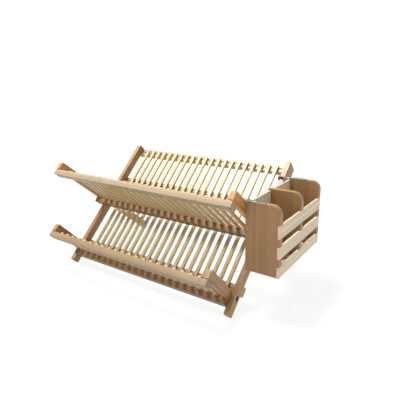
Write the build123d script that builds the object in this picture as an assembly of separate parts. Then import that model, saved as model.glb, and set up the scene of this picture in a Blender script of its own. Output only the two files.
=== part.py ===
from build123d import *
import os
from collections import namedtuple
from math import cos, radians, sin, tan

# Folding dish rack of bamboo. The cross frame is hinged on the main frame to make an X, a short
# shelf is hinged low on the main frame, and a cutlery box hangs on the right by two steel hooks.
# Millimetres, +Z up, +Y to the rear, +X to the right. The model is drawn about the rack's own
# reference line, x = 0 at mid width and y = z = 0 where the main frame's front plane meets the
# floor, and is moved at the end so that the origin is the middle of its footprint.

# Stock
rail_depth = 18.0
rail_thick = 9.5
batten_width = 18.0
batten_thick = 11.5
slat_width = 7.1
slat_thick = 5.3
slat_pitch = 17.78
slat_group = 3
end_round = 3.5
foot_trim = 0.6
side_gap = 0.4
fold_gap = 0.4
shelf_fold_gap = 0.3
cutter_reach = 1500.0

# Main frame: rails run from the front feet up to the rear
main_angle = 42.0
main_outer = 210.0
main_top = 349.0
main_lower_batten = 60.3
main_middle_batten = 241.0
main_slat_count = 21
main_slat_setback = 5.0

# Cross frame: rails outside the main frame, from the rear feet up to the front
cross_angle = 41.4
cross_top = 332.7
cross_stop_batten = 179.1
cross_slat_count = 22
cross_slat_setback = 11.0
cross_hinge_run = 167.3

# Shelf: rails inside the main frame, square to it when open
shelf_reach = 102.0
shelf_tail = 20.0
shelf_rear_batten = 0.0
shelf_slat_count = 21
shelf_slat_setback = 9.0
shelf_pivot_run = 51.3

# Hinge: distance up the main rails
hinge_run = 185.45

# Pins and screws
pin_radius = 3.0
running_clearance = 0.05
pin_head_radius = 5.0
pin_head_thick = 1.6
head_clearance = 0.3
shelf_pin_setback = 0.8
screw_radius = 1.75
screw_head_radius = 3.5
screw_head_depth = 2.0
screw_length = 22.0
screw_point = 3.0
screw_point_radius = 0.4375

# Cutlery box
box_inner_face = 220.5
box_width = 62.5
box_front = 53.5
box_length = 181.0
box_bottom = 83.5
box_top = 208.0
panel_thick = 10.0
panel_shoulder = 16.0
panel_corner = 2.0
wall_slat_thick = 4.0
outer_slats = ((84.0, 103.0), (117.0, 139.0), (153.0, 176.0))
inner_slats = ((84.0, 103.0), (117.0, 139.0), (150.0, 172.0), (183.0, 205.0))
housing_depth = 5.0
floor_height = 86.5
floor_thick = 5.0
drain_width = 5.0
drain_length = 42.0
drain_spacing = 14.0
drain_count = 3

# Hooks of flat steel strip, screwed on the box's end panels
hook_width = 6.5
hook_thick = 1.6
hook_drop = 9.0
hook_end = 255.0
hook_lift = 0.3
hook_screws = (240.0, 250.0)
hook_screw_radius = 1.25
hook_screw_head_radius = 2.4
hook_screw_head = 1.0
hook_screw_crown = 0.8
hook_screw_length = 14.0
bend_share = 0.8

# A frame is a plane whose local z is the rails' upper face normal. run is +1 or -1: the sense of
# the local y axis in which distance along the rails is counted. outer is its rails' outer face.
Frame = namedtuple("Frame", "plane run outer low high")

# Alignments of a solid that stands on z = 0, and of one that hangs below it
standing = (Align.CENTER, Align.CENTER, Align.MIN)
hanging = (Align.CENTER, Align.CENTER, Align.MAX)


def frame_point(frame, x, along, normal):
    """A point given by width, distance along the rails and height over the frame's plane."""
    return frame.plane.from_local_coords(Vector(x, frame.run * along, normal))


def tilted_plane(origin, normal_angle):
    """A plane through origin whose normal leans by normal_angle from +Y towards +Z."""
    normal = (0, cos(radians(normal_angle)), sin(radians(normal_angle)))
    return Plane(origin=origin, x_dir=(1, 0, 0), z_dir=normal)


def bar(frame, x_span, along_span, normal_span):
    """A straight bar between three pairs of frame coordinates."""
    spans = (x_span, along_span, normal_span)
    size = [high - low for low, high in spans]
    middle = [(low + high) / 2 for low, high in spans]
    place = Pos(middle[0], frame.run * middle[1], middle[2])
    return frame.plane * place * Box(*size)


def round_bar(frame, x_span, along, normal, radius):
    """A cylinder across the rack, at one place along the rails."""
    length = x_span[1] - x_span[0]
    place = Pos((x_span[0] + x_span[1]) / 2, frame.run * along, normal)
    return frame.plane * place * Rot(0, 90, 0) * Cylinder(radius, length)


def side_span(side, inner, outer):
    """The x span between two distances from the middle, on the right (1) or left (-1)."""
    return tuple(sorted((side * inner, side * outer)))


def rail(frame, side, start, end):
    """A side rail with rounded ends, trimmed flat where its foot meets the floor."""
    x_span = side_span(side, frame.outer - rail_thick, frame.outer)
    blank = bar(frame, x_span, (start, end), (frame.low, frame.high))
    corners = blank.edges().filter_by(Axis.X)
    floor_side = Box(cutter_reach, cutter_reach, cutter_reach, align=hanging)
    return fillet(corners, end_round) - floor_side


def batten(frame, start):
    """A flat batten across the whole width, under both rails."""
    return bar(frame, (-frame.outer, frame.outer), (start, start + batten_width),
               (frame.low - batten_thick, frame.low))


def slats(frame, count, start, end):
    """The row of slats that lies on the battens, between the rails."""
    first = -(count - 1) / 2 * slat_pitch
    centres = [first + index * slat_pitch for index in range(count)]
    half = slat_width / 2
    normal_span = (frame.low, frame.low + slat_thick)
    return [bar(frame, (x - half, x + half), (start, end), normal_span) for x in centres]


def wood_screw(frame, x, along):
    """A countersunk screw driven from a batten's underside into a rail."""
    head = Cone(screw_head_radius, screw_radius, screw_head_depth, align=standing)
    shank = Cylinder(screw_radius, screw_length - screw_point, align=standing)
    point = Cone(screw_radius, screw_point_radius, screw_point, align=standing)
    screw = head + shank + Pos(0, 0, screw_length - screw_point) * point
    return frame.plane * Pos(x, frame.run * along, frame.low - batten_thick) * screw


def frame_screws(frame, batten_starts):
    """One screw through each end of each batten, at the middle of the rail."""
    offset = frame.outer - rail_thick / 2
    return [wood_screw(frame, side * offset, start + batten_width / 2)
            for start in batten_starts for side in (-1, 1)]


def headed_pin(frame, side, inner, outer, along, normal):
    """A pin across a joint, with its flat head on the outer end."""
    shank = round_bar(frame, side_span(side, inner, outer), along, normal, pin_radius)
    head_span = side_span(side, outer - pin_head_thick, outer)
    head = round_bar(frame, head_span, along, normal, pin_head_radius)
    return shank + head


def foot_start(frame, radius):
    """Where along a rail its foot begins, so that its rounded corner just passes the floor."""
    up = frame.plane.z_dir.Z
    along_up = frame.run * frame.plane.y_dir.Z
    height = radius - foot_trim - frame.plane.origin.Z - (frame.low + radius) * up
    return height / along_up - radius


# The three frames, in the order in which they are placed
main = Frame(tilted_plane((0, 0, 0), 90 + main_angle), 1, main_outer, -rail_depth, 0.0)
hinge_point = frame_point(main, 0, hinge_run, -rail_depth / 2)
cross_hinge_height = rail_depth / 2 + fold_gap
cross_origin = (0,
                hinge_point.Y + cross_hinge_run * cos(radians(cross_angle))
                - cross_hinge_height * sin(radians(cross_angle)),
                hinge_point.Z - cross_hinge_run * sin(radians(cross_angle))
                - cross_hinge_height * cos(radians(cross_angle)))
cross = Frame(tilted_plane(cross_origin, 90 - cross_angle), -1,
              main_outer + side_gap + rail_thick, 0.0, rail_depth)
pivot_point = frame_point(main, 0, shelf_pivot_run, -rail_depth / 2)
shelf_low = -(rail_depth / 2 + shelf_fold_gap)
shelf = Frame(tilted_plane(pivot_point, main_angle), -1,
              main_outer - rail_thick - side_gap, shelf_low, shelf_low + rail_depth)
main_battens = {"lower": main_lower_batten, "middle": main_middle_batten, "top": main_top - batten_width}
cross_battens = {"stop": cross_stop_batten, "front": cross_top - batten_width}
shelf_battens = {"rear": shelf_rear_batten, "front": shelf_reach - batten_width}


def build_main_frame():
    """Rails, battens, slats, screws and the four pins that are pressed into the rails."""
    nodes = {}
    screws = frame_screws(main, main_battens.values())
    for name, side in (("left", -1), ("right", 1)):
        middle = -rail_depth / 2
        hinge_end = cross.outer - head_clearance
        hinge_pin = headed_pin(main, side, main_outer - rail_thick, hinge_end, hinge_run, middle)
        shelf_end = shelf.outer - rail_thick + shelf_pin_setback
        shelf_pin = headed_pin(main, side, shelf_end, main_outer, shelf_pivot_run, middle)
        body = rail(main, side, foot_start(main, end_round), main_top)
        nodes[f"main_rail_{name}"] = body - hinge_pin - shelf_pin - screws
        nodes[f"hinge_pin_{name}"] = hinge_pin
        nodes[f"shelf_pin_{name}"] = shelf_pin
    for name, start in main_battens.items():
        nodes[f"main_batten_{name}"] = batten(main, start) - screws
    slat_end = main_top - main_slat_setback
    nodes["main_slats"] = slats(main, main_slat_count, main_lower_batten, slat_end)
    nodes["main_frame_screws"] = screws
    return nodes


def build_cross_frame():
    """Rails that turn on the hinge pins, the stop and front battens, slats and screws."""
    nodes = {}
    screws = frame_screws(cross, cross_battens.values())
    for name, side in (("left", -1), ("right", 1)):
        body = rail(cross, side, foot_start(cross, end_round), cross_top)
        hole_span = side_span(side, 0, cutter_reach)
        hole_radius = pin_radius + running_clearance
        hole = round_bar(cross, hole_span, cross_hinge_run, cross_hinge_height, hole_radius)
        recess_floor = cross.outer - pin_head_thick - 2 * head_clearance
        recess_span = side_span(side, recess_floor, cutter_reach)
        recess_radius = pin_head_radius + head_clearance
        recess = round_bar(cross, recess_span, cross_hinge_run, cross_hinge_height, recess_radius)
        nodes[f"cross_rail_{name}"] = body - hole - recess - screws
    for name, start in cross_battens.items():
        nodes[f"cross_batten_{name}"] = batten(cross, start) - screws
    slat_end = cross_top - cross_slat_setback
    nodes["cross_slats"] = slats(cross, cross_slat_count, cross_stop_batten, slat_end)
    nodes["cross_frame_screws"] = screws
    return nodes


def build_shelf():
    """Short rails that turn on the shelf pins, two battens, slats and screws."""
    nodes = {}
    screws = frame_screws(shelf, shelf_battens.values())
    for name, side in (("left", -1), ("right", 1)):
        body = rail(shelf, side, -shelf_tail, shelf_reach)
        hole_span = side_span(side, 0, cutter_reach)
        hole = round_bar(shelf, hole_span, 0, 0, pin_radius + running_clearance)
        nodes[f"shelf_rail_{name}"] = body - hole - screws
    for name, start in shelf_battens.items():
        nodes[f"shelf_batten_{name}"] = batten(shelf, start) - screws
    slat_end = shelf_reach - shelf_slat_setback
    nodes["shelf_slats"] = slats(shelf, shelf_slat_count, shelf_rear_batten, slat_end)
    nodes["shelf_screws"] = screws
    return nodes


def block(x_span, y_span, z_span):
    """An upright block between three pairs of rack coordinates."""
    corner = Pos(x_span[0], y_span[0], z_span[0])
    size = [high - low for low, high in (x_span, y_span, z_span)]
    return corner * Box(*size, align=(Align.MIN, Align.MIN, Align.MIN))


def box_panel(y_start):
    """An upright end panel or divider, with a large rounded shoulder at its outer top corner."""
    outer_face = box_inner_face + box_width
    blank = block((box_inner_face, outer_face), (y_start, y_start + panel_thick), (box_bottom, box_top))
    edges = blank.edges().filter_by(Axis.Y)
    shoulder = edges.sort_by(Axis.X)[-2:].sort_by(Axis.Z)[-1]
    rounded = fillet(shoulder, panel_shoulder)
    across = rounded.edges().filter_by(Axis.Y)
    others = across.filter_by_position(Axis.X, box_inner_face, box_inner_face)
    return fillet(others, panel_corner)


def box_floor(y_start, y_end):
    """The floor of one compartment, with drain slots along the box."""
    inner = box_inner_face + wall_slat_thick
    outer = box_inner_face + box_width - wall_slat_thick
    board = block((inner, outer), (y_start, y_end), (floor_height, floor_height + floor_thick))
    middle = Pos((inner + outer) / 2, (y_start + y_end) / 2, floor_height + floor_thick / 2)
    slot = extrude(SlotOverall(drain_length, drain_width, rotation=90), floor_thick, both=True)
    drains = [middle * place * slot for place in GridLocations(drain_spacing, 0, drain_count, 1)]
    return board - drains


def hook(y_start, tip_inner_face):
    """A flat strip on top of an end panel, whose turned-down tip goes over a rack rail."""
    y_span = (y_start, y_start + hook_width)
    tip_face = tip_inner_face - hook_lift
    strip = block((tip_face - hook_thick, hook_end), y_span, (box_top, box_top + hook_thick))
    tip = block((tip_face - hook_thick, tip_face), y_span, (box_top - hook_drop, box_top + hook_thick))
    bent = strip + tip
    outside_bend = bent.edges().filter_by(Axis.Y).group_by(Axis.X)[0].sort_by(Axis.Z)[-1]
    return fillet(outside_bend, hook_thick * bend_share)


def hook_screw(x, y):
    """A small round-headed screw through a hook into the end panel."""
    head = Cylinder(hook_screw_head_radius, hook_screw_head, align=standing)
    crown = fillet(head.edges().sort_by(Axis.Z)[-1], hook_screw_crown)
    shank = Cylinder(hook_screw_radius, hook_screw_length, align=hanging)
    return Pos(x, y, box_top + hook_thick) * (crown + shank)


def box_walls():
    """The slats of the outer wall and of the inner wall, from the lowest up."""
    box_rear = box_front + box_length
    outer_face = box_inner_face + box_width
    outer_x = (outer_face - wall_slat_thick, outer_face)
    inner_x = (box_inner_face, box_inner_face + wall_slat_thick)
    inner_y = (box_front + housing_depth, box_rear - housing_depth)
    outer_wall = [block(outer_x, (box_front, box_rear), z_span) for z_span in outer_slats]
    inner_wall = [block(inner_x, inner_y, z_span) for z_span in inner_slats]
    return outer_wall, inner_wall


def hook_starts():
    """Where the front and rear hooks begin, so that they rest on the cross and main rails."""
    rest_height = box_top - hook_lift
    rise = rest_height - frame_point(cross, 0, 0, rail_depth).Z
    front = frame_point(cross, 0, rise / sin(radians(cross_angle)), rail_depth).Y
    rear = rest_height / tan(radians(main_angle)) - hook_width
    return {"front": front, "rear": rear}


def build_cutlery_box():
    """Two end panels, a divider, wall slats let into their edges, two floors and two hooks."""
    nodes = {}
    box_rear = box_front + box_length
    divider_front = (box_front + box_rear - panel_thick) / 2
    outer_wall, inner_wall = box_walls()
    starts = hook_starts()
    tip_faces = {"front": cross.outer - rail_thick, "rear": main_outer - rail_thick}
    screws = [hook_screw(x, start + hook_width / 2) for start in starts.values() for x in hook_screws]
    for name, start in starts.items():
        nodes[f"box_hook_{name}"] = hook(start, tip_faces[name]) - screws
    panels = {"box_panel_front": box_front, "box_divider": divider_front,
              "box_panel_rear": box_rear - panel_thick}
    for name, y_start in panels.items():
        nodes[name] = box_panel(y_start) - outer_wall - inner_wall - screws
    for index, slat in enumerate(outer_wall, start=1):
        nodes[f"box_outer_slat_{index}"] = slat
    for index, slat in enumerate(inner_wall, start=1):
        nodes[f"box_inner_slat_{index}"] = slat
    nodes["box_floor_front"] = box_floor(box_front + panel_thick, divider_front)
    nodes["box_floor_rear"] = box_floor(divider_front + panel_thick, box_rear - panel_thick)
    nodes["box_hook_screws"] = screws
    return nodes


def numbered_groups(name, pieces, group_size):
    """Splits a long row of pieces into numbered nodes, from left to right."""
    starts = range(0, len(pieces), group_size)
    groups = [pieces[start:start + group_size] for start in starts]
    return {f"{name}_{index}": group for index, group in enumerate(groups, start=1)}


def as_shape(node):
    """One solid as it is, or several separate solids as one compound."""
    return Compound(children=list(node)) if isinstance(node, (list, ShapeList)) else node


all_nodes = {}
for build in (build_main_frame, build_cross_frame, build_shelf, build_cutlery_box):
    for node_name, node in build().items():
        if node_name.endswith("_slats"):
            all_nodes.update(numbered_groups(node_name, node, slat_group))
        else:
            all_nodes[node_name] = node

shapes = {node_name: as_shape(node) for node_name, node in all_nodes.items()}
boxes = [shape.bounding_box() for shape in shapes.values()]
lowest = [min(box.min.X for box in boxes), min(box.min.Y for box in boxes)]
highest = [max(box.max.X for box in boxes), max(box.max.Y for box in boxes)]
footprint_middle = Vector((lowest[0] + highest[0]) / 2, (lowest[1] + highest[1]) / 2, 0)

os.makedirs("parts", exist_ok=True)
for node_name, shape in shapes.items():
    export_step(shape.moved(Pos(-footprint_middle)), f"parts/{node_name}.step")

print("bounds", lowest, highest)
print("hinge", hinge_point - footprint_middle)
print("shelf pivot", pivot_point - footprint_middle)
print("fold degrees", main_angle + cross_angle - 180)
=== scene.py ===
import math

import bpy
from mathutils import Matrix, Vector


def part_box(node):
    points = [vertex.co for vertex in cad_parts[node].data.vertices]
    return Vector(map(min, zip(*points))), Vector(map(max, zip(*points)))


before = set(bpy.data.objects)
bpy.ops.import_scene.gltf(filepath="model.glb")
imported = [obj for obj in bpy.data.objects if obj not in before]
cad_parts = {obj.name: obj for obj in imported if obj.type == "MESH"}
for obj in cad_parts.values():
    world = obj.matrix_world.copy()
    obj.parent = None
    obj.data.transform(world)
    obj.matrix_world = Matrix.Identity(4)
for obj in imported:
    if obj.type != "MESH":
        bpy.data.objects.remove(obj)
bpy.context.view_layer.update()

# Looks for a folding bamboo dish rack. Each kind of piece has its own tone of bamboo, and the hooks,
# pins and screws are satin steel. Metres throughout.


# ---- Directions in the rack: its tilts are the CAD model's own ----

MAIN_TILT = math.radians(42.0)
CROSS_TILT = math.radians(180.0 - 41.4)
SHELF_TILT = math.radians(90.0) + MAIN_TILT
ACROSS = Vector((1, 0, 0))
LENGTHWAYS = Vector((0, 1, 0))
UP = Vector((0, 0, 1))


def up_the(tilt):
    """The unit vector that runs up a frame, tilted from +Y towards +Z."""
    return Vector((0, math.cos(tilt), math.sin(tilt)))


SLAT_PITCH = 0.01778
SLATS_PER_NODE = 3


def first_column(row):
    """Where the first slat's column begins: half a gap to the left of the row's first slat."""
    low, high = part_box(row + "_1")
    slat_width = high[0] - low[0] - (SLATS_PER_NODE - 1) * SLAT_PITCH
    return low[0] - (SLAT_PITCH - slat_width) / 2


# ---- Node tree helper ----

class Tree:
    """Builds a material's nodes with one short call for each."""

    def __init__(self, name):
        self.material = bpy.data.materials.new(name)
        self.material.use_nodes = True
        self.nodes = self.material.node_tree.nodes
        self.links = self.material.node_tree.links
        self.nodes.clear()

    def put(self, socket, value):
        """Sets a socket from another node's output or from a plain value."""
        if isinstance(value, bpy.types.NodeSocket):
            self.links.new(value, socket)
        else:
            socket.default_value = value

    def node(self, kind, inputs=None, **settings):
        """Adds a node, with its settings and its inputs by name or index."""
        made = self.nodes.new(kind)
        for key, value in settings.items():
            setattr(made, key, value)
        for key, value in (inputs or {}).items():
            self.put(made.inputs[key], value)
        return made

    def math(self, operation, first, second=0.0, third=0.0, clamp=False):
        """A Math node's result."""
        inputs = {0: first, 1: second, 2: third}
        return self.node("ShaderNodeMath", inputs, operation=operation, use_clamp=clamp).outputs[0]

    def dot(self, vector, direction):
        """How far a vector reaches in a direction, which is fixed or another node's output."""
        if not isinstance(direction, bpy.types.NodeSocket):
            direction = tuple(direction)
        return self.node("ShaderNodeVectorMath", {0: vector, 1: direction},
                         operation="DOT_PRODUCT").outputs["Value"]

    def join(self, x, y, z):
        """Three numbers as one vector."""
        return self.node("ShaderNodeCombineXYZ", {0: x, 1: y, 2: z}).outputs[0]

    def noise(self, vector, scale, detail, roughness=0.5):
        """Smooth noise from 0 to 1."""
        return self.node("ShaderNodeTexNoise", {"Vector": vector, "Scale": scale, "Detail": detail,
                                                "Roughness": roughness}).outputs["Fac"]

    def random(self, vector):
        """One random number for each distinct vector."""
        return self.node("ShaderNodeTexWhiteNoise", {"Vector": vector}).outputs["Value"]

    def spread(self, value, low, high, to_low=0.0, to_high=1.0):
        """Maps a value smoothly from one range to another, with its ends held."""
        return self.node("ShaderNodeMapRange", {"Value": value, "From Min": low, "From Max": high,
                                                "To Min": to_low, "To Max": to_high},
                         interpolation_type="SMOOTHSTEP").outputs["Result"]

    def mix(self, factor, first, second):
        """Two colours mixed. Inputs 6 and 7 are the node's colours."""
        return self.node("ShaderNodeMix", {0: factor, 6: first, 7: second}, data_type="RGBA").outputs[2]

    def ramp(self, factor, stops):
        """A colour ramp through (place, colour) stops."""
        made = self.node("ShaderNodeValToRGB", {0: factor})
        elements = made.color_ramp.elements
        while len(elements) < len(stops):
            elements.new(0.5)
        for element, (place, colour) in zip(elements, stops):
            element.position = place
            element.color = colour
        return made.outputs[0]

    def finish(self, shader):
        """Connects the shader and returns the material."""
        output = self.node("ShaderNodeOutputMaterial")
        self.links.new(shader, output.inputs["Surface"])
        return self.material


# ---- Bamboo tones, as rendered under this scene's light ----

TONE_STEPS = (0.0, 0.35, 0.7, 1.0)


def tones(dark, light):
    """Four tones of one wood, from its darkest to its lightest, as stops for a colour ramp."""
    return tuple((step, (*(low + (high - low) * step for low, high in zip(dark, light)), 1.0))
                 for step in TONE_STEPS)


BATTEN = tones((0.22, 0.143, 0.068), (0.44, 0.355, 0.240))
SHELF_BATTEN = tones((0.175, 0.106, 0.046), (0.355, 0.262, 0.160))
# The stop batten and the shelf's rear batten: caramel bamboo like the rails, made darker still by painted
# shade of the slats that lie over them.
BATTEN_IN_PAINTED_SHADE = tones((0.08, 0.036, 0.012), (0.25, 0.132, 0.050))
SLAT = tones((0.44, 0.285, 0.115), (0.50, 0.415, 0.250))
RAIL = tones((0.16, 0.078, 0.027), (0.44, 0.268, 0.124))
CROSS_RAIL = tones((0.24, 0.095, 0.027), (0.65, 0.345, 0.129))
BOX_WALL = tones((0.43, 0.325, 0.195), (0.69, 0.600, 0.440))
BOX_PANEL = tones((0.135, 0.065, 0.024), (0.41, 0.232, 0.096))


# ---- Bamboo pattern ----

SEED_SPAN = 53.0

# Noise drawn out along the fibres: its scale along and across them, its detail and its roughness.
FIBRE_NOISE = (7.0, 620.0, 4.0, 0.62)
STREAK_NOISE = (3.0, 130.0, 3.0, 0.5)
CLOUD_SCALE = 14.0
CLOUD_DETAIL = 2.0

# How much of the tone each pattern gives, and how far the sum is moved down to centre it.
STRIP_SHARE = 0.34
FIBRE_SHARE = 0.34
STREAK_SHARE = 0.34
CLOUD_SHARE = 0.26
TONE_DROP = 0.12

# Glue lines: the part of a strip's width that each edge's line takes, and how dark it is.
GLUE_LINE = 0.06
GLUE_SHADE = 0.30

# Knuckles: the rings on a cane. Each strip's are shifted by a random length and are a little uneven.
KNUCKLE_SPACING = 0.23
KNUCKLE_WIDTH = 0.0016
KNUCKLE_CORE = 0.35
KNUCKLE_SHADE = 0.62
KNUCKLE_SALT = 7.0
WANDER = 0.003
WANDER_SCALE = 260.0
WANDER_DETAIL = 1.0

# Cut ends: which faces count as ends, and the pores of the fibre bundles that show there.
END_FACING = (0.72, 0.90)
BUNDLE_SCALE = 1500.0
PORE_SIZE = (0.16, 0.40)
PORE_SHADE = 0.70
END_CLOUD = 0.5

# Painted edge highlight: how near an edge, how far its normal has turned, in which patches, and how pale.
HIGHLIGHT_RADIUS = 0.0012
HIGHLIGHT_SAMPLES = 4
HIGHLIGHT_TURN = (0.90, 0.995)
HIGHLIGHT_PATCHES = (0.40, 0.62)
HIGHLIGHT_PALENESS = 0.35

ROUGHNESS = 0.34
FIBRE_ROUGHNESS = 0.24
END_ROUGHNESS = 0.22

FIBRE_HEIGHT = 0.5
GLUE_HEIGHT = -0.5
KNUCKLE_HEIGHT = 0.7
PORE_DEPTH = 0.7


class BambooTree(Tree):
    """A bamboo material's nodes, which measure a point along its fibres, across them and in depth."""

    def __init__(self, name, grain, crosswise):
        super().__init__(name)
        place = self.node("ShaderNodeTexCoord")
        spot, normal = place.outputs["Object"], place.outputs["Normal"]
        axes = (grain, crosswise, grain.cross(crosswise))
        self.along, self.across, self.deep = (self.dot(spot, axis) for axis in axes)
        self.seed = self.math("MULTIPLY", self.node("ShaderNodeObjectInfo").outputs["Random"], SEED_SPAN)
        cloud_place = self.join(self.along, self.across, self.math("ADD", self.deep, self.seed))
        self.cloud = self.noise(cloud_place, CLOUD_SCALE, CLOUD_DETAIL)
        self.is_end = self.spread(self.math("ABSOLUTE", self.dot(normal, grain)), *END_FACING)

    def drawn_out(self, along_scale, cross_scale, detail, roughness):
        """Noise drawn out along the fibres."""
        place = self.join(self.math("MULTIPLY", self.along, along_scale),
                          self.math("MULTIPLY", self.across, cross_scale),
                          self.math("ADD", self.math("MULTIPLY", self.deep, cross_scale), self.seed))
        return self.noise(place, 1.0, detail, roughness)

    def strips(self, width, start):
        """The number of a point's strip, that strip's random tone, and how near its glue line is."""
        lane = self.math("DIVIDE", self.math("SUBTRACT", self.across, start), width)
        number = self.math("FLOOR", lane)
        layer = self.math("FLOOR", self.math("DIVIDE", self.deep, width))
        tone = self.random(self.join(number, layer, self.seed))
        off_centre = self.math("ABSOLUTE", self.math("SUBTRACT", self.math("FRACT", lane), 0.5))
        return number, tone, self.spread(off_centre, 0.5 - GLUE_LINE, 0.5)

    def knuckles(self, strip_number):
        """Where the cane's knuckles are, from 0 to 1."""
        chance = self.random(self.join(strip_number, self.seed, KNUCKLE_SALT))
        drift = self.math("MULTIPLY", chance, KNUCKLE_SPACING)
        unevenness = self.noise(self.join(self.across, self.deep, self.seed), WANDER_SCALE, WANDER_DETAIL)
        wander = self.math("MULTIPLY", unevenness, WANDER)
        shifted = self.math("ADD", self.math("ADD", self.along, drift), wander)
        turn = self.math("FRACT", self.math("DIVIDE", shifted, KNUCKLE_SPACING))
        away = self.math("ABSOLUTE", self.math("SUBTRACT", turn, 0.5))
        return self.spread(self.math("MULTIPLY", away, KNUCKLE_SPACING), KNUCKLE_WIDTH * KNUCKLE_CORE,
                           KNUCKLE_WIDTH, 1.0, 0.0)

    def end_grain(self, darkest, dark, light):
        """The colour of a cut end, and where its pores are."""
        place = self.join(self.across, self.deep, self.seed)
        bundles = self.node("ShaderNodeTexVoronoi", {"Vector": place, "Scale": BUNDLE_SCALE})
        pore = self.spread(bundles.outputs["Distance"], *PORE_SIZE, 1.0, 0.0)
        colour = self.mix(self.math("MULTIPLY", pore, PORE_SHADE), light, darkest)
        return self.mix(self.math("MULTIPLY", self.cloud, END_CLOUD), colour, dark), pore

    def painted_edge_highlight(self):
        """Where a painted highlight makes an edge paler, in patches, from 0 to 1."""
        rounded = self.node("ShaderNodeBevel", {"Radius": HIGHLIGHT_RADIUS}, samples=HIGHLIGHT_SAMPLES).outputs[0]
        flat = self.node("ShaderNodeNewGeometry").outputs["Normal"]
        edge = self.spread(self.dot(rounded, flat), *HIGHLIGHT_TURN, 1.0, 0.0)
        return self.math("MULTIPLY", edge, self.spread(self.cloud, *HIGHLIGHT_PATCHES))


def bamboo(name, wood, grain, crosswise, strip, start=0.0, marks=1.0):
    """Laminated bamboo. Its fibres run along grain, and strips of the given width lie side by side,
    counted from start. A row of slats takes its pitch as the strip, so that each has its own tone.
    marks is how strongly the strips, their glue lines and the knuckles show."""
    tree = BambooTree(name, grain, crosswise)
    darkest, dark, light, lightest = (colour for step, colour in wood)
    strip_number, strip_tone, glue = tree.strips(strip, start)
    knuckle = tree.knuckles(strip_number)
    fibre = tree.drawn_out(*FIBRE_NOISE)
    streak = tree.drawn_out(*STREAK_NOISE)

    tone = tree.math("MULTIPLY_ADD", strip_tone, STRIP_SHARE * marks, STRIP_SHARE / 2 * (1.0 - marks))
    for pattern, share in ((fibre, FIBRE_SHARE), (streak, STREAK_SHARE), (tree.cloud, CLOUD_SHARE)):
        tone = tree.math("ADD", tone, tree.math("MULTIPLY", pattern, share))
    side = tree.ramp(tree.math("SUBTRACT", tone, TONE_DROP), wood)
    side = tree.mix(tree.math("MULTIPLY", glue, GLUE_SHADE * marks), side, darkest)
    side = tree.mix(tree.math("MULTIPLY", knuckle, KNUCKLE_SHADE * marks), side, darkest)
    end, pore = tree.end_grain(darkest, dark, light)
    colour = tree.mix(tree.is_end, side, end)
    # Edges are mixed towards the lightest tone in patches: a painted highlight.
    colour = tree.mix(tree.math("MULTIPLY", tree.painted_edge_highlight(), HIGHLIGHT_PALENESS), colour, lightest)

    rough = tree.math("ADD", tree.math("MULTIPLY", fibre, FIBRE_ROUGHNESS), ROUGHNESS)
    rough = tree.math("ADD", rough, tree.math("MULTIPLY", tree.is_end, END_ROUGHNESS), clamp=True)
    height = tree.math("ADD", tree.math("MULTIPLY", fibre, FIBRE_HEIGHT),
                       tree.math("MULTIPLY", glue, GLUE_HEIGHT))
    height = tree.math("ADD", height, tree.math("MULTIPLY", knuckle, KNUCKLE_HEIGHT))
    open_pore = tree.math("MULTIPLY", pore, tree.is_end)
    height = tree.math("SUBTRACT", height, tree.math("MULTIPLY", open_pore, PORE_DEPTH))
    bump = tree.node("ShaderNodeBump", {"Strength": 0.45, "Distance": 0.00022, "Height": height})
    shader = tree.node("ShaderNodeBsdfPrincipled", {
        "Base Color": colour, "Roughness": rough, "Normal": bump.outputs[0], "Specular IOR Level": 0.38,
        "Coat Weight": 0.10, "Coat Roughness": 0.32})
    return tree.finish(shader.outputs[0])


# ---- Steel ----

# The brushing's scale along its lines and in the two directions across them.
BRUSH_SCALES = (60.0, 5200.0, 5200.0)
BRUSH_SHADE = 0.22
BRUSH_ROUGHNESS = 0.20
GRIME_SCALE = 420.0
GRIME_PATCHES = (0.46, 0.72)
GRIME_DARKNESS = 0.45
GRIME_ROUGHNESS = 0.12
ROUGHNESS_DROP = 0.12


def steel(name, colour, grain, roughness, grime):
    """Satin steel, brushed along one direction, with darker grime in patches."""
    tree = Tree(name)
    spot = tree.node("ShaderNodeTexCoord").outputs["Object"]
    side = grain.orthogonal().normalized()
    axes = (grain, side, grain.cross(side))
    brushed = tree.join(*(tree.math("MULTIPLY", tree.dot(spot, axis), scale)
                          for axis, scale in zip(axes, BRUSH_SCALES)))
    lines = tree.noise(brushed, 1.0, 3.0, 0.6)
    patches = tree.noise(spot, GRIME_SCALE, 4.0, 0.6)
    grimy = (*(channel * GRIME_DARKNESS for channel in colour), 1.0)
    shade = tree.mix(tree.spread(patches, *GRIME_PATCHES, 0.0, grime), (*colour, 1.0), grimy)
    shade = tree.mix(tree.math("MULTIPLY", lines, BRUSH_SHADE), shade, grimy)
    rough = tree.math("ADD", tree.math("MULTIPLY", lines, BRUSH_ROUGHNESS),
                      tree.math("MULTIPLY", patches, GRIME_ROUGHNESS))
    rough = tree.math("ADD", rough, roughness - ROUGHNESS_DROP, clamp=True)
    bump = tree.node("ShaderNodeBump", {"Strength": 0.25, "Distance": 0.00005, "Height": lines})
    shader = tree.node("ShaderNodeBsdfPrincipled", {
        "Base Color": shade, "Metallic": 1.0, "Roughness": rough, "Normal": bump.outputs[0]})
    return tree.finish(shader.outputs[0])


# ---- A look for every node ----

RAIL_STRIP = 0.0060
PANEL_STRIP = 0.0052
BATTEN_STRIP = 0.0060
PANEL_MARKS = 0.35
HOOK_TONE = (0.42, 0.42, 0.44)
PIN_TONE = (0.045, 0.038, 0.032)
SCREW_TONE = (0.24, 0.21, 0.18)

up_main, up_cross, up_shelf = up_the(MAIN_TILT), up_the(CROSS_TILT), up_the(SHELF_TILT)
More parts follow.
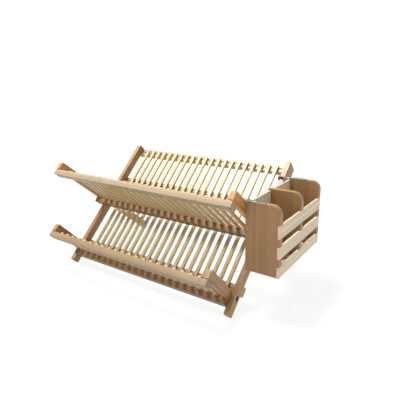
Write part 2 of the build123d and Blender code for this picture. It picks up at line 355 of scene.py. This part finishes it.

# By the start of a node's name. The first match counts, so the two battens with painted shade
# come before the general entries for their frames.
LOOKS = {
    "main_rail": bamboo("main_rail_bamboo", RAIL, up_main, ACROSS.cross(up_main), RAIL_STRIP),
    "cross_rail": bamboo("cross_rail_bamboo", CROSS_RAIL, up_cross, ACROSS.cross(up_cross), RAIL_STRIP),
    "shelf_rail": bamboo("shelf_rail_bamboo", RAIL, up_shelf, ACROSS.cross(up_shelf), RAIL_STRIP),
    "main_batten": bamboo("main_batten_bamboo", BATTEN, ACROSS, up_main, BATTEN_STRIP),
    # These two battens' tone holds painted shade of the slats over them.
    "cross_batten_stop": bamboo("cross_batten_stop_bamboo", BATTEN_IN_PAINTED_SHADE, ACROSS, up_cross,
                                BATTEN_STRIP),
    "shelf_batten_rear": bamboo("shelf_batten_rear_bamboo", BATTEN_IN_PAINTED_SHADE, ACROSS, up_shelf,
                                BATTEN_STRIP),
    "cross_batten": bamboo("cross_batten_bamboo", BATTEN, ACROSS, up_cross, BATTEN_STRIP),
    "shelf_batten": bamboo("shelf_batten_bamboo", SHELF_BATTEN, ACROSS, up_shelf, BATTEN_STRIP),
    "main_slats": bamboo("main_slat_bamboo", SLAT, up_main, ACROSS, SLAT_PITCH,
                         first_column("main_slats")),
    "cross_slats": bamboo("cross_slat_bamboo", SLAT, up_cross, ACROSS, SLAT_PITCH,
                          first_column("cross_slats")),
    "shelf_slats": bamboo("shelf_slat_bamboo", SLAT, up_shelf, ACROSS, SLAT_PITCH,
                          first_column("shelf_slats")),
    "box_panel": bamboo("box_panel_bamboo", BOX_PANEL, UP, ACROSS, PANEL_STRIP, marks=PANEL_MARKS),
    "box_divider": bamboo("box_divider_bamboo", BOX_PANEL, UP, ACROSS, PANEL_STRIP, marks=PANEL_MARKS),
    "box_floor": bamboo("box_floor_bamboo", BOX_PANEL, LENGTHWAYS, ACROSS, PANEL_STRIP),
    "box_outer_slat": bamboo("box_outer_slat_bamboo", BOX_WALL, LENGTHWAYS, UP, BATTEN_STRIP),
    "box_inner_slat": bamboo("box_inner_slat_bamboo", BOX_WALL, LENGTHWAYS, UP, BATTEN_STRIP),
    "box_hook": steel("hook_steel", HOOK_TONE, ACROSS, roughness=0.34, grime=0.25),
    "hinge_pin": steel("hinge_pin_steel", PIN_TONE, ACROSS, roughness=0.55, grime=0.5),
    "shelf_pin": steel("shelf_pin_steel", PIN_TONE, ACROSS, roughness=0.55, grime=0.5),
}
SCREW_LOOK = steel("screw_steel", SCREW_TONE, ACROSS, roughness=0.40, grime=0.5)


def look_of(node):
    """The finish for a node, by the first start of its name that is listed."""
    if "screw" in node:
        return SCREW_LOOK
    return next(look for start, look in LOOKS.items() if node.startswith(start))


# ---- Edges ----

WELD_DISTANCE = 1e-6
WOOD_EDGE = 0.0007
STEEL_EDGE = 0.0002
EDGE_SEGMENTS = 2
SHARP_ANGLE = math.radians(40)
FLAT_WEIGHT = 90


def ease_edges(piece, width):
    """Rounds a piece's sharp edges a little, as sanding or rolling leaves them."""
    weld = piece.modifiers.new("weld", "WELD")
    weld.merge_threshold = WELD_DISTANCE
    bevel = piece.modifiers.new("eased_edges", "BEVEL")
    bevel.width = width
    bevel.segments = EDGE_SEGMENTS
    bevel.limit_method = "ANGLE"
    bevel.angle_limit = SHARP_ANGLE
    bevel.harden_normals = True
    bevel.use_clamp_overlap = True
    flat = piece.modifiers.new("flat_faces", "WEIGHTED_NORMAL")
    flat.mode = "FACE_AREA"
    flat.weight = FLAT_WEIGHT


def dress(node, piece):
    """Gives a CAD node its finish and its eased edges."""
    piece.data.materials.clear()
    piece.data.materials.append(look_of(node))
    steel_part = any(word in node for word in ("screw", "pin", "hook"))
    ease_edges(piece, STEEL_EDGE if steel_part else WOOD_EDGE)


for node_name, node_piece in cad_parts.items():
    dress(node_name, node_piece)


# ---- Floor, light and camera ----

WHITE = (1.0, 1.0, 1.0, 1.0)

# The middle of a noise texture's range, where most of its values lie.
NOISE_MIDDLE = (0.3, 0.7)

FLOOR_SIZE = 12.0
FLOOR_GREY = (0.14, 0.14, 0.14, 1.0)
FLOOR_FADE = (0.45, 1.1)
FLOOR_GLOW = (0.88, 1.02)
FLOOR_UNEVENNESS = (0.98, 1.0)

BACKDROP_RADIUS = 5.5
BACKDROP_HEIGHT = 2.4
BACKDROP_SIDES = 96
BACKDROP_GLOW = (1.02, 1.06)


def make_floor():
    """A pale light table under the rack. Its glow leaves room for a faint shadow near the rack, and
    turns to pure white further out."""
    bpy.ops.mesh.primitive_plane_add(size=FLOOR_SIZE)
    floor = bpy.context.object
    floor.name = "floor"
    tree = Tree("floor_glow")
    spot = tree.node("ShaderNodeTexCoord").outputs["Object"]
    distance = tree.node("ShaderNodeVectorMath", {0: spot}, operation="LENGTH").outputs["Value"]
    uneven = tree.spread(tree.noise(spot, 1.5, 2.0), *NOISE_MIDDLE, *FLOOR_UNEVENNESS)
    glow = tree.math("MULTIPLY", tree.spread(distance, *FLOOR_FADE, *FLOOR_GLOW), uneven)
    shader = tree.node("ShaderNodeBsdfPrincipled", {
        "Base Color": FLOOR_GREY, "Roughness": 0.85, "Specular IOR Level": 0.1,
        "Emission Color": WHITE, "Emission Strength": glow})
    floor.data.materials.append(tree.finish(shader.outputs[0]))


def make_backdrop():
    """A round white wall, evenly lit, far out on every side of the rack."""
    bpy.ops.mesh.primitive_cylinder_add(vertices=BACKDROP_SIDES, radius=BACKDROP_RADIUS,
                                        depth=BACKDROP_HEIGHT, end_fill_type="NOTHING",
                                        location=(0, 0, BACKDROP_HEIGHT / 2))
    wall = bpy.context.object
    wall.name = "backdrop"
    tree = Tree("backdrop_glow")
    spot = tree.node("ShaderNodeTexCoord").outputs["Object"]
    strength = tree.spread(tree.noise(spot, 0.6, 2.0), *NOISE_MIDDLE, *BACKDROP_GLOW)
    shader = tree.node("ShaderNodeEmission", {"Color": WHITE, "Strength": strength})
    wall.data.materials.append(tree.finish(shader.outputs[0]))


WORLD_STRENGTH = 0.24
RACK_MIDDLE = Vector((0.0, 0.0, 0.1))

# Each light's name, place, width and power in watts.
LIGHTS = (
    ("key", (-0.60, -0.15, 1.9), 0.7, 72.0),
    ("front", (-0.5, -1.8, 1.0), 1.2, 4.0),
    ("right", (1.7, -0.6, 0.9), 1.2, 3.5),
)


def area_light(name, place, width, power):
    """A square soft light at place, aimed at the rack."""
    data = bpy.data.lights.new(name, "AREA")
    data.size = width
    data.energy = power
    light = bpy.data.objects.new(name, data)
    bpy.context.collection.objects.link(light)
    light.location = place
    light.rotation_euler = (RACK_MIDDLE - Vector(place)).to_track_quat("-Z", "Y").to_euler()


def make_light():
    """A white room, a small strong light overhead from the left and weak fills in front and at the right."""
    world = bpy.data.worlds.new("studio")
    world.use_nodes = True
    background = world.node_tree.nodes["Background"]
    background.inputs["Color"].default_value = WHITE
    background.inputs["Strength"].default_value = WORLD_STRENGTH
    bpy.context.scene.world = world
    for light in LIGHTS:
        area_light(*light)


CAMERA_PLACE = Vector((0.50088, -0.63049, 0.41680))
CAMERA_TURN = math.radians(35.49)
CAMERA_DOWN = math.radians(17.65)
CAMERA_ROLL = math.radians(-1.53)
CAMERA_LENS = 37.03
CAMERA_SHIFT = (-0.0015, -0.00125)
SENSOR_WIDTH = 36.0
LEVEL = math.radians(90)


def make_camera():
    """A camera at the front right, a little above the rack."""
    data = bpy.data.cameras.new("camera")
    data.sensor_width = SENSOR_WIDTH
    data.lens = CAMERA_LENS
    data.shift_x, data.shift_y = CAMERA_SHIFT
    camera = bpy.data.objects.new("camera", data)
    bpy.context.collection.objects.link(camera)
    turn = Matrix.Rotation(CAMERA_TURN, 4, "Z") @ Matrix.Rotation(LEVEL - CAMERA_DOWN, 4, "X")
    camera.matrix_world = Matrix.Translation(CAMERA_PLACE) @ turn @ Matrix.Rotation(CAMERA_ROLL, 4, "Z")
    bpy.context.scene.camera = camera


make_floor()
make_backdrop()
make_light()
make_camera()
bpy.context.scene.view_settings.view_transform = "Standard"
